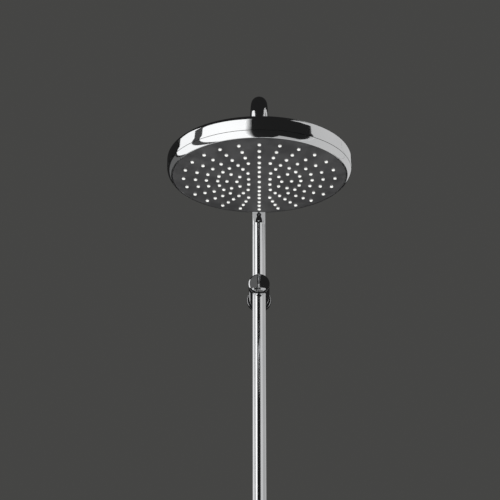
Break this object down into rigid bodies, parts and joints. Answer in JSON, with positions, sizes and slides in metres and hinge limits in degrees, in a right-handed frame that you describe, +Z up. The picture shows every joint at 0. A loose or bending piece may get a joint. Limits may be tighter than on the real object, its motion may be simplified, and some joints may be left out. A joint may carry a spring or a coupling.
{
  "type": "rainfall shower column",
  "caption": "Wall-held chrome riser with a swivelling overhead arm and a round tilting rain head with a dark domed spray face and soft white nozzles.",
  "frame": {"origin": "centre of the upper bracket's face against the wall", "axes": "+Z up along the riser, +Y into the wall, -Y out over the bather, +X to the right seen from the room"},
  "size_m": [0.244, 0.612, 0.9502],
  "materials": {
    "chrome": "polished",
    "raw_brass": "machined",
    "steel": "zinc plated",
    "seal_rubber": "matt",
    "acetal": "moulded",
    "plug_nylon": "moulded",
    "face_grey": "satin moulded",
    "nozzle_silicone": "soft silicone"
  },
  "bodies": {
    "column": {"riser_tube": "chrome", "riser_top_socket": "raw_brass", "swivel_thrust_ring": "acetal", "bracket_body": "chrome", "bracket_front_cap": "chrome", "cap_oring": "seal_rubber", "bracket_flange": "chrome", "flange_seal": "seal_rubber", "bracket_wall_plate": "raw_brass", "bracket_wall_screw": "steel", "bracket_wall_plug": "plug_nylon", "arm_stop_screw": "steel", "riser_grub_screw": "steel", "bracket_grub_screw": "steel", "inlet_elbow": "chrome", "riser_olive": "raw_brass", "union_slip_washer": "raw_brass", "riser_union_nut": "chrome", "inlet_nipple": "raw_brass", "inlet_screen": "steel", "inlet_rosette": "chrome", "rosette_seal": "seal_rubber"},
    "arm": {"arm_tube": "chrome", "arm_swivel_spigot": "raw_brass", "spigot_orings": "seal_rubber", "arm_front_elbow": "chrome", "ball_stud": "raw_brass", "stud_washer": "seal_rubber", "flow_restrictor": "acetal", "arm_filter_screen": "steel"},
    "ball_seat": {"ball_seat_seal": "seal_rubber"},
    "ball_thrust": {"ball_thrust_ring": "acetal"},
    "head": {"ball_cup": "chrome", "socket_nut": "chrome", "neck_washer": "acetal", "head_top_shell": "chrome", "head_trim_ring": "chrome", "seam_gasket": "seal_rubber", "spray_face": "face_grey", "nozzle_mat": "nozzle_silicone", "backing_plate": "acetal", "chamber_seal": "seal_rubber", "hub_oring": "seal_rubber", "face_screws": "steel"}
  },
  "joints": [
    {"name": "arm_swivel", "type": "hinge", "parent": "column", "child": "arm", "pos_m": [0, -0.06, 0.007], "axis": [0, 0, 1], "range_deg": [-75, 75]},
    {"name": "head_tilt_x", "type": "hinge", "parent": "arm", "child": "ball_seat", "pos_m": [0, -0.44, 0.069], "axis": [1, 0, 0], "range_deg": [-15, 15]},
    {"name": "head_tilt_y", "type": "hinge", "parent": "ball_seat", "child": "ball_thrust", "pos_m": [0, -0.44, 0.069], "axis": [0, 1, 0], "range_deg": [-15, 15]},
    {"name": "head_spin", "type": "hinge", "parent": "ball_thrust", "child": "head", "pos_m": [0, -0.44, 0.069], "axis": [0, 0, 1], "continuous": true}
  ]
}
